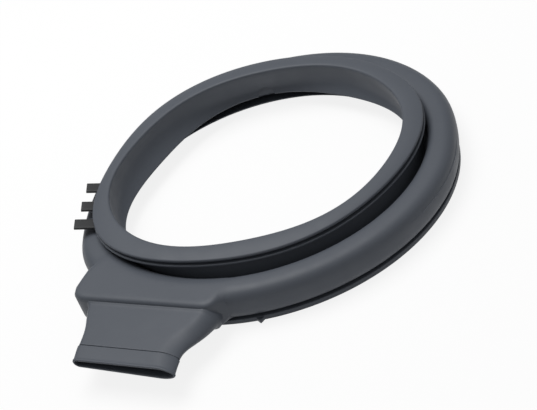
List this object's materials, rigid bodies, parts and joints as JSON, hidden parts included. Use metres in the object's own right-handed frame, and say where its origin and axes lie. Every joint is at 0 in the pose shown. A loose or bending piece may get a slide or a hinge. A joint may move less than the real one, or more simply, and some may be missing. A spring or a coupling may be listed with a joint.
{
  "type": "washing machine door seal",
  "caption": "Rubber bellows ring with a slotted front lip, inner sealing wall, hollow outer roll, tub flange, side tabs and a flat hollow duct.",
  "frame": {"origin": "middle of the bounding box seen from above, on the plane of the tub flange's flat bottom face", "axes": "+Z along the ring's axis, from the tub flange up to the front lip (towards the door); -Y along the flat duct, out of its mouth; +X completes the frame, the three tabs are on the -X side"},
  "size_m": [0.3832, 0.4706, 0.05],
  "materials": {
    "rubber": "matt moulded EPDM rubber, mid grey"
  },
  "bodies": {
    "root": {"door_seal": "rubber"}
  },
  "joints": []
}
